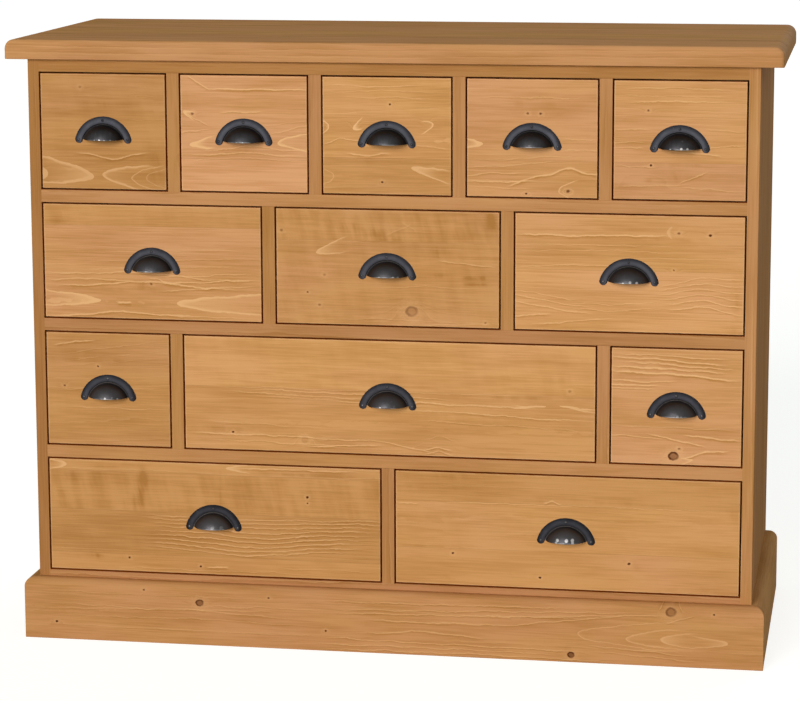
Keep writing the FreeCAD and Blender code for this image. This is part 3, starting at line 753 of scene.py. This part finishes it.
FRONTS["row4_drawer2"] = dict(
    boards=[
        Board(172, 120, 60, 10, 0, 25, -0.2, 0.2, 0, 0.3),
        Board(248, 210, 60, 10, 0, 26, 0.1, 0.2, 0.1, 0.1),
        Board(0, 270, 50, 9, 0, 27, -0.6, 0.25, 0.1, 0.1),
    ],
    knots=[(104, 164, 1.9, 1), (383, 158, 2.2, 1), (243, 130, 1.8, 0.9)],
    veins=[
        (262, 250, 16, 2.2, 0.9, 0, 4), (300, 247, 240, 1.2, 0.5, 0.005), (100, 171, 90, 1, 0.3),
        (200, 274, 150, 1.1, 0.25), (420, 239, 120, 1.1, 0.25), (33, 243, 20, 1.8, 0.6),
    ],
    smudges=[
        (80, 288, 60, 5, 0.6), (60, 270, 50, 4, 0.4), (60, 172, 60, 3, 0.6), (240, 257, 18, 4, 0.4),
        (350, 254, 60, 6, 0.3), (540, 250, 20, 30, 0.3), (393, 152, 10, 5, 0.4),
    ],
)
PLINTH = dict(
    boards=[Board(0, 47, 45, 7, 0, 31, -1.2, 0.3, 0, 0.5)],
    knots=[
        (-304, 70, 5, 0.9), (-542, 29, 2, 1), (-98, 33, 2, 1), (295, 12, 4.4, 1), (451, 88, 6.4, 0.6),
        (518, 87, 1.8, 0.7), (-396, 88, 1.9, 0.4), (-191, 83, 1.9, 0.4),
    ],
    tongues=[
        (305, 46, 1, 2, 0.02, 1.6, 180, 0.7, 0.1), (382, 42, 1, 1.6, 0.04, 2, 110, 0.8, 0.15),
        (436, 44, 1, 1.5, -0.02, 1.8, 62, 0.8, 0.9), (540, 41, -1, 0.9, 0, 1.8, 66, 0.8, 0.8),
    ],
    veins=[
        (80, 55, 130, 2, 0.8), (280, 66, 110, 1.6, 0.7, 0.12), (60, 33, 110, 2, 0.8, 0, 6),
        (120, 68, 230, 1.5, 0.8, 0.02), (150, 76, 260, 1.5, 0.7, 0.03), (330, 76, 120, 1.6, 0.8, 0.05),
        (100, 20, 240, 1.5, 0.8, -0.01), (80, 12, 220, 1.5, 0.8), (120, 5, 260, 1.5, 0.8),
        (400, 24, 90, 1.5, 0.7, -0.06), (410, 15, 90, 1.4, 0.6, -0.06), (90, 84, 230, 1.4, 0.7, 0.01),
        (-350, 52, 230, 1.5, 0.5, 0, 6), (-360, 60, 200, 1.4, 0.5, 0, -4), (-330, 40, 240, 1.3, 0.4, 0, 3),
        (-300, 24, 260, 1.2, 0.4), (-380, 80, 200, 1.2, 0.35), (-200, 66, 120, 1.4, 0.5, 0.02),
        (438, 99, 7, 1.8, 0.6, 1.4), (462, 99, 7, 1.8, 0.6, -1.4), (465, 76, 24, 1.6, 0.7, 0.3),
    ],
    smudges=[(438, 98, 5, 8, 0.7), (458, 99, 3, 7, 0.7), (290, 18, 9, 8, 0.5), (330, 48, 24, 10, 0.3)],
)

# How much the rails, the uprights, the top and the side panels are darkened, as the tone of a board:
# partly the wood's own tone and partly painted shade. The top front rail's tone is painted shadow from the
# overhanging top. The front edges of the top and of each side panel have a tone of their own
RAIL_SHADE_TONES = {
    "top_front_rail": -2.1,
    "rail_below_row1": -0.8,
    "rail_below_row2": -2.2,
    "rail_below_row3": -1.7,
    "bottom_rail": -2.4,
}
UPRIGHT_TONE = -1.8
TOP_TONE = -0.4
TOP_EDGE_TONE = -1.1
SIDE_TONE = -1.7
SIDES = [("left", -1.0, -3.7), ("right", 1.0, -1.8)]

# Corners so far out that no face between them gets the pale arris line; the edges behind the face still
# get their painted shade
FAR_OUT = [(-9.0, -9.0, 0.0), (9.0, 9.0, 0.0)]

# Painted light on the pulls: how pale the flanges and the bowls are made in each row, for how the lamps
# fall on each row; and the glints on each bowl, which are painted highlights, in millimetres across from
# its middle and up from its mouth, with their radius and strength
PULL_ROW_LIGHT = {"row1": (1.0, 1.0), "row2": (0.88, 2.1), "row3": (0.68, 2.8), "row4": (0.5, 3.6)}
GLINT_HIGHLIGHTS = {
    "row1_drawer1": [(-8, 0.5, 1.3, 0.7), (0, 0.5, 1.8, 0.8), (8, 0.5, 1.3, 0.7), (17, 0.5, 1.4, 0.7)],
    "row1_drawer2": [(-6, 0.5, 1.2, 0.4), (4, 0.5, 1.2, 0.4)],
    "row1_drawer4": [(0, 3, 3, 0.15)],
    "row1_drawer5": [(-13, 1, 1.3, 0.8), (4, 2, 2, 1), (13, 2, 1.8, 1), (5, 13, 1.8, 0.2)],
    "row2_drawer1": [(-18, 0.5, 1.2, 0.5), (-4, 0.5, 1.4, 0.5), (5, 0.5, 1.2, 0.4)],
    "row2_drawer2": [(-9, 0.5, 1.8, 0.4), (13, 1, 1.8, 0.6), (20, 1, 1.6, 0.5)],
    "row2_drawer3": [(-7, 1, 1.4, 0.6), (4, 2.5, 2.4, 0.6), (14, 1.5, 2.2, 0.9)],
    "row3_drawer1": [(1, 2, 2, 0.7), (12, 3, 1.6, 0.4), (20, 1, 1.6, 0.5)],
    "row3_drawer2": [(-8, 1, 1.7, 0.9), (14, 4, 2.4, 0.2)],
    "row3_drawer3": [(4, 2, 2.4, 0.35), (9, 2, 1.8, 0.3)],
    "row4_drawer1": [(3, 4, 3.2, 0.25), (17, 4, 3.2, 0.3), (20, 0.5, 1.6, 0.5)],
    "row4_drawer2": [
        (-11, 5.5, 2.5, 1.2), (-13, 1.5, 2, 0.8), (3.5, 5.5, 2.6, 1.6), (12.5, 6, 2.6, 1.6),
        (13, 2.5, 2.2, 1.2),
    ],
}


# Finishes that a user would change

def colour(name, description, default):
    """A colour in scene linear values."""
    return FloatVectorProperty(
        name=name, description=description, default=(*default, 1.0), size=4, subtype="COLOR", min=0.0,
        max=1.0,
    )


def share(name, description, default, top=1.0):
    """A plain number from 0 to top."""
    return FloatProperty(name=name, description=description, default=default, min=0.0, max=top)


class WaxedPine(bpy.types.PropertyGroup):
    """The honey-coloured waxed pine of everything that shows with the drawers shut."""

    body: colour("Body", "The wood between the rings", (0.585, 0.29, 0.102))
    pale: colour("Pale", "The pale line that ends each ring", (0.745, 0.415, 0.19))
    dusky: colour("Dusky", "The darker wood that has taken more stain", (0.43, 0.192, 0.054))
    rosy: colour("Rosy", "Broad pinker patches", (0.61, 0.294, 0.136))
    knot: colour("Knot", "The core of a knot", (0.27, 0.108, 0.042))
    bark: colour("Bark", "The dark ring about a knot", (0.09, 0.026, 0.009))
    # Painted shade: the colour of the edge faces behind the fronts, standing in for the shade in the gaps
    wax: colour("Wax", "Brown wax on the edges behind the faces", (0.46, 0.09, 0.004))
    lines: share("Line strength", "How far the pale lines stand out", 1.0, 2.0)
    roughness: share("Roughness", "Gloss of the wax, lower is shinier", 0.62)
    specular: share("Specular", "Strength of the wax's reflections", 0.0022)
    relief: share("Relief", "Strength of the grain's relief", 0.3)


class BarePine(bpy.types.PropertyGroup):
    """The unfinished pine of the drawer boxes, the frames and the back."""

    body: colour("Body", "The wood between the rings", (0.7, 0.44, 0.25))
    pale: colour("Pale", "The pale line that ends each ring", (0.8, 0.56, 0.36))
    dusky: colour("Dusky", "The darker wood", (0.57, 0.33, 0.17))
    rosy: colour("Rosy", "Broad pinker patches", (0.7, 0.42, 0.26))
    knot: colour("Knot", "The core of a knot", (0.36, 0.18, 0.085))
    bark: colour("Bark", "The dark ring about a knot", (0.12, 0.05, 0.02))
    # Painted shade for the edges behind the faces, in the gaps between the parts
    wax: colour("Wax", "The edges behind the faces", (0.57, 0.33, 0.17))
    lines: share("Line strength", "How far the pale lines stand out", 0.6, 2.0)
    roughness: share("Roughness", "Gloss of the bare wood, lower is shinier", 0.75)
    specular: share("Specular", "Strength of the wood's reflections", 0.02)
    relief: share("Relief", "Strength of the grain's relief", 0.5)


class BlackIron(bpy.types.PropertyGroup):
    """The waxed cast iron of the cup pulls and the steel of their screws."""

    flange: colour("Flange", "The graphite grey of the flange", (0.027, 0.028, 0.034))
    # Painted highlight: the paler inner edge of the flange
    inner: colour("Inner edge", "The flange beside the bowl, where its wax is thin", (0.1, 0.1, 0.118))
    # Partly painted shade: the bowl is made blacker than the flange for the shade in the cup
    bowl: colour("Bowl", "The blacker bowl of the cup", (0.0122, 0.0107, 0.0102))
    # Painted reflection: the paler lower middle of the bowl, where it faces the bright floor
    painted_reflection: colour("Handled", "The bowl where fingers have polished it", (0.047, 0.046, 0.05))
    # Used both for worn iron and for painted highlights: the lip, the glints and the screw heads
    wear_and_painted_light: colour("Worn", "Iron that fingers have rubbed bare", (0.32, 0.31, 0.3))
    roughness: share("Roughness", "Gloss of the iron, lower is shinier", 0.42)
    relief: share("Relief", "Strength of the cast skin", 0.4)


class Studio(bpy.types.PropertyGroup):
    """The floor, lamps and camera."""

    floor: colour("Floor", "The pale floor", (0.5, 0.5, 0.5))
    floor_glow: share("Floor glow", "Light that the camera and reflections see from the floor", 0.8)
    key: share("Key lamp", "Strength of the lamp from the front, to the left", 2.72, 20.0)
    fill: share("Fill lamp", "Strength of the lamp from behind, to the right", 1.1, 20.0)
    sky: colour("Sky", "The even light all round, a little cooler than the lamps", (0.182, 0.212, 0.166))
    lens: FloatProperty(
        name="Lens", description="Focal length of the camera", default=128.66, unit="CAMERA", min=1.0
    )


FINISHES = {"chest_waxed": WaxedPine, "chest_bare": BarePine, "chest_iron": BlackIron, "chest_studio": Studio}


# Dressing the chest

class CHEST_OT_effects(bpy.types.Operator):
    """Makes the shader groups that the finishes share"""

    bl_idname = "chest.effects"
    bl_label = "Shared effects"

    def execute(self, context):
        make_growth_rings()
        make_wood_fibre()
        make_knot()
        make_swell()
        make_tongue()
        make_vein()
        make_staves()
        make_border()
        make_pine_colour()
        return {"FINISHED"}


class CHEST_OT_fronts(bpy.types.Operator):
    """Gives each drawer front the boards, figure and knots of its own"""

    bl_idname = "chest.fronts"
    bl_label = "Drawer fronts"

    def execute(self, context):
        for drawer, figure in FRONTS.items():
            border = [(corner.x, corner.z, 0.0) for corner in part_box(drawer + "_front")]
            lay_pine(
                "Waxed pine " + drawer, [drawer + "_front"], context.scene.chest_waxed, "XZY", face=FACE_Y,
                border=border, **figure,
            )
        return {"FINISHED"}


class CHEST_OT_frame(bpy.types.Operator):
    """Waxes the front rails, the uprights, the sides, the top and the plinth"""

    bl_idname = "chest.frame"
    bl_label = "Carcass and plinth"

    def execute(self, context):
        waxed = context.scene.chest_waxed
        for seed, (rail, tone) in enumerate(RAIL_SHADE_TONES.items()):
            staves = Staves(0.06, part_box(rail)[0].z - 0.02, 50.0 + seed, 0.009)
            lay_pine(
                "Waxed pine " + rail, [rail], waxed, "XZY", staves, face=FACE_Y, tone=tone, border=FAR_OUT
            )
        lay_pine(
            "Waxed pine uprights", ["drawer_dividers"], waxed, "ZXY", Staves(0.05, 0.025, 60.0, 0.008),
            face=FACE_Y, tone=UPRIGHT_TONE, border=FAR_OUT,
        )
        for seed, (name, side, front_tone) in enumerate(SIDES):
            staves = Staves(0.097, FACE_Y - 0.04, 70.0 + seed, 0.008)
            lay_pine(
                "Waxed pine side_panel_" + name, ["side_panel_" + name], waxed, "ZYX", staves,
                face=side * SIDE_X, inward=-side, tone=SIDE_TONE, front=(FACE_Y, front_tone),
            )
            staves = Staves(0.3, -0.1, 90.0 + seed, 0.008)
            lay_pine(
                "Waxed pine plinth_" + name, ["plinth_" + name], waxed, "YZX", staves,
                face=side * PLINTH_X, inward=-side,
            )
        staves = Staves(0.099, CAD_BOX[0].y - 0.03, 80.0, 0.008)
        lay_pine(
            "Waxed pine top", ["top_panel"], waxed, "XYZ", staves, face=TOP_Z, inward=-1.0, tone=TOP_TONE,
            front=(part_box("top_panel")[0].y, TOP_EDGE_TONE),
        )
        lay_pine("Waxed pine plinth_front", ["plinth_front"], waxed, "XZY", face=PLINTH_Y, **PLINTH)
        return {"FINISHED"}


class CHEST_OT_inside(bpy.types.Operator):
    """Leaves the drawer boxes, the frames inside and the back as bare pine"""

    bl_idname = "chest.inside"
    bl_label = "Drawer boxes and inside"

    def execute(self, context):
        boxes = [drawer + "_box" for drawer in FRONTS]
        width = 2 * (SIDE_X - SIDE_THICK) / BACK_BOARDS
        for name, order, staves, face, nodes in (
            ("boxes", "YZX", Staves(0.207, 0.006, 100.0, 0.007), 0.0, boxes),
            ("runners", "YXZ", Staves(0.06, 0.03, 110.0, 0.008), 0.0, ["drawer_runners"]),
            ("guides", "YXZ", Staves(0.05, 0.025, 111.0, 0.008), 0.0, ["drawer_guides"]),
            ("rails", "XZY", Staves(0.207, 0.0, 112.0, 0.008), 0.0, ["rear_rails", "plinth_rear"]),
            ("blocks", "ZXY", Staves(0.1, 0.05, 113.0, 0.008), 0.0, ["corner_blocks", "drawer_stops"]),
            ("back", "ZXY", Staves(width, SIDE_THICK - SIDE_X, 114.0, 0.007), REAR_Y, ["back_boards"]),
        ):
            lay_pine("Bare pine " + name, nodes, context.scene.chest_bare, order, staves, face=face)
        return {"FINISHED"}


def scaled(tint, factor):
    """A colour made paler or darker."""
    return (*[part * factor for part in tint[:3]], 1.0)


def spots(across, up, places):
    """The sum of round spots, each with its place across and up, its radius and its strength."""
    shown = 0.0
    for right, above, size, strength in places:
        aside = across - right
        rise = up - above
        disc = (aside * aside + rise * rise).math("SQRT").ramp(size * 1.3, size * 0.5)
        shown = disc * strength + shown
    return shown


def iron_material(name, iron, pull, seed, row_light, glints):
    """Black iron for the pull of that name: a dull flange, a blacker bowl that fingers have polished in
    its middle, a bare lip with glints above it, and worn screw heads.
    """
    low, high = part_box(pull)
    material, tree, shader = new_material(name)
    x, y, z = chest_axes(tree)
    across = x - (low.x + high.x) / 2
    aside = across.math("ABSOLUTE")
    rise = z - (low.z - PULL_FOOT)
    out = FACE_Y - y
    radius = (across * across + rise * rise).math("SQRT")
    grain = clouds(tree, x * 900.0, y * 900.0, z * 900.0, 3.0)[0]
    dents = clouds(tree, x * 170.0 + seed, y * 170.0, z * 170.0, 3.0)[0]
    smears = clouds(tree, x * 60.0 + seed, y * 60.0, z * 60.0, 2.0)[0]
    streaks = clouds(tree, x * 420.0 + seed, y * 60.0, z * 60.0, 3.0)[0]
    bowl = out.ramp(PULL_FLANGE, PULL_FLANGE + 0.4 * MM)
    # Painted shade: the flange's inner edge beside the bowl takes the bowl's colour, for the shade in the
    # groove
    bowl = bowl.math("MAXIMUM", radius.ramp(PULL_ARCH[0], PULL_ARCH[0] - 0.8 * MM))
    # Painted reflection: the bowl is paler towards its lower middle, where it faces the bright floor
    painted_reflection = bowl * rise.ramp(0.031, 0.015) * aside.ramp(0.03, 0.006) * (streaks * 0.8 + 0.3)
    # A pale line along the middle of the lip: patchy wear with a painted highlight
    lip_wear_and_highlight = (rise - PULL_MOUTH).math("ABSOLUTE").ramp(1.9 * MM, 0.6 * MM) * aside.ramp(0.026, 0.012)
    # Pale dots on the screw heads: wear with a painted highlight
    head_wear_and_highlight = spots(aside, rise, [(*place, 1.7 * MM, 0.2) for place in PULL_SCREWS])
    # Painted highlights: glints of the lamps on the bowl above the lip
    glint_highlights = spots(across, rise, [
        (right * MM, PULL_MOUTH + up * MM, size * MM, strength) for right, up, size, strength in glints
    ])
    # Painted light: the flange and the bowl are made paler and darker row by row, for how the lamps fall on
    # each row
    flange_row_light, bowl_row_light = row_light
    # Painted highlight: the flange grows paler towards its inner edge
    flange = mix(
        "RGBA", radius.ramp(PULL_ARCH[1], PULL_ARCH[0]), scaled(iron.flange, flange_row_light),
        scaled(iron.inner, flange_row_light),
    )
    # The bowl's blacker colour is partly painted shade in the cup
    base = mix("RGBA", bowl, flange, scaled(iron.bowl, bowl_row_light))
    base = mix("RGBA", painted_reflection.held(), base, tuple(iron.painted_reflection))
    # Wear and painted highlights together: the lip, the glints, the screw heads and pale speckles take the
    # Worn colour
    wear_and_highlights = bowl * (lip_wear_and_highlight * smears.ramp(0.3, 0.6) * 0.65 + glint_highlights) + head_wear_and_highlight + (dents - 0.66) * 0.6
    base = mix("RGBA", wear_and_highlights.held(), base, tuple(iron.wear_and_painted_light))
    dull = (smears - 0.5) * 0.3 + (grain - 0.5) * 0.2 + (1.0 - bowl) * 0.3
    feed_inputs(shader, {"Metallic": 0.9, "Base Color": base, "Roughness": dull + iron.roughness})
    add_relief(tree, shader, iron.relief, grain * 0.5 + dents * 1.6)
    return material


class CHEST_OT_pulls(bpy.types.Operator):
    """Blackens the cast iron pulls and the screws"""

    bl_idname = "chest.pulls"
    bl_label = "Pulls and screws"

    def execute(self, context):
        iron = context.scene.chest_iron
        for seed, drawer in enumerate(FRONTS):
            pull = drawer + "_pull"
            row_light = PULL_ROW_LIGHT[drawer.split("_")[0]]
            glints = GLINT_HIGHLIGHTS.get(drawer, ())
            give(iron_material("Black iron " + drawer, iron, pull, seed * 5.7, row_light, glints), pull)
        give(bpy.data.materials["Black iron row1_drawer1"], "top_screws")
        return {"FINISHED"}


# Half the floor's width; the spread of each sun, its tilt from straight above and its turn, in degrees; and
# the camera solved from the photograph's drawer gaps, top and plinth, with its place out from the face
FLOOR_REACH = 60.0
SUNS = {"key": (30.0, 76.0, -14.0), "fill": (40.0, 79.0, 160.0)}
CAMERA_PLACE = (0.7674, -4.3449, 1.303)
CAMERA_TURN = (80.331, 0.157, 9.731)
CAMERA_SHIFT = -0.0506


def shown_as_background(tree):
    """1 for the rays that show the background, straight or in a reflection, and 0 for light on the chest."""
    path = add_node(tree, "LightPath")
    seen = Wire(tree, path.outputs["Is Camera Ray"])
    for ray in ("Is Glossy Ray", "Is Transmission Ray"):
        seen = seen.math("MAXIMUM", Wire(tree, path.outputs[ray]))
    return seen


class CHEST_OT_stage(bpy.types.Operator):
    """Sets the pale floor, the soft lamps and the camera at the photograph's angle"""

    bl_idname = "chest.stage"
    bl_label = "Floor, lamps and camera"

    def execute(self, context):
        studio = context.scene.chest_studio
        self.lay_floor(context, studio)
        self.light(context, studio)
        self.aim_camera(context, studio)
        context.scene.view_settings.view_transform = "Standard"
        return {"FINISHED"}

    def lay_floor(self, context, studio):
        """A flat square far wider than the view, white to the camera except in the chest's shadow."""
        mesh = bpy.data.meshes.new("floor")
        signs = [(-1, -1), (1, -1), (1, 1), (-1, 1)]
        corners = [(x * FLOOR_REACH, y * FLOOR_REACH, 0.0) for x, y in signs]
        mesh.from_pydata(corners, [], [(0, 1, 2, 3)])
        floor = bpy.data.objects.new("floor", mesh)
        context.scene.collection.objects.link(floor)
        material, tree, shader = new_material("Pale floor")
        feed_inputs(shader, {
            "Base Color": studio.floor, "Roughness": 0.9, "Specular IOR Level": 0.0, "Emission Color": WHITE,
            "Emission Strength": shown_as_background(tree) * studio.floor_glow,
        })
        mesh.materials.append(material)

    def light(self, context, studio):
        """Two wide soft suns, and a sky that looks white but lights more gently."""
        for name, (spread, tilt, turn) in SUNS.items():
            data = bpy.data.lights.new(name.title() + " lamp", "SUN")
            data.energy = getattr(studio, name)
            data.angle = math.radians(spread)
            lamp = bpy.data.objects.new(data.name, data)
            lamp.rotation_euler = (math.radians(tilt), 0.0, math.radians(turn))
            context.scene.collection.objects.link(lamp)
        world = bpy.data.worlds.new("Studio")
        context.scene.world = world
        world.use_nodes = True
        tree = world.node_tree
        seen = mix("RGBA", shown_as_background(tree), tuple(studio.sky), WHITE)
        feed(tree.nodes["Background"].inputs["Color"], seen)

    def aim_camera(self, context, studio):
        """The camera at the photograph's angle."""
        data = bpy.data.cameras.new("Camera")
        data.sensor_width = 36.0
        data.lens = studio.lens
        data.shift_y = CAMERA_SHIFT
        camera = bpy.data.objects.new("Camera", data)
        camera.location = CAMERA_PLACE
        camera.location.y += FACE_Y
        camera.rotation_euler = [math.radians(angle) for angle in CAMERA_TURN]
        context.scene.collection.objects.link(camera)
        context.scene.camera = camera


STEPS = (CHEST_OT_effects, CHEST_OT_fronts, CHEST_OT_frame, CHEST_OT_inside, CHEST_OT_pulls, CHEST_OT_stage)


class CHEST_PT_panel(bpy.types.Panel):
    """Lists the finishes and the steps that dress the chest"""

    bl_idname = "CHEST_PT_panel"
    bl_label = "Pine chest of drawers"
    bl_space_type = "VIEW_3D"
    bl_region_type = "UI"
    bl_category = "Chest"

    def draw(self, context):
        for name, group in FINISHES.items():
            box = self.layout.box()
            box.label(text=group.__name__)
            for field in group.__annotations__:
                box.prop(getattr(context.scene, name), field)
        for step in STEPS:
            self.layout.operator(step.bl_idname)


CLASSES = (*FINISHES.values(), *STEPS, CHEST_PT_panel)


def register():
    for one in CLASSES:
        bpy.utils.register_class(one)
    for name, group in FINISHES.items():
        setattr(bpy.types.Scene, name, PointerProperty(type=group))


def unregister():
    for name in FINISHES:
        delattr(bpy.types.Scene, name)
    for one in reversed(CLASSES):
        bpy.utils.unregister_class(one)


def main():
    """Runs every step in order, then writes the CAD box and the visual model's box."""
    register()
    for step in STEPS:
        getattr(bpy.ops.chest, step.bl_idname.split(".")[1])()


if __name__ == "__main__":
    main()
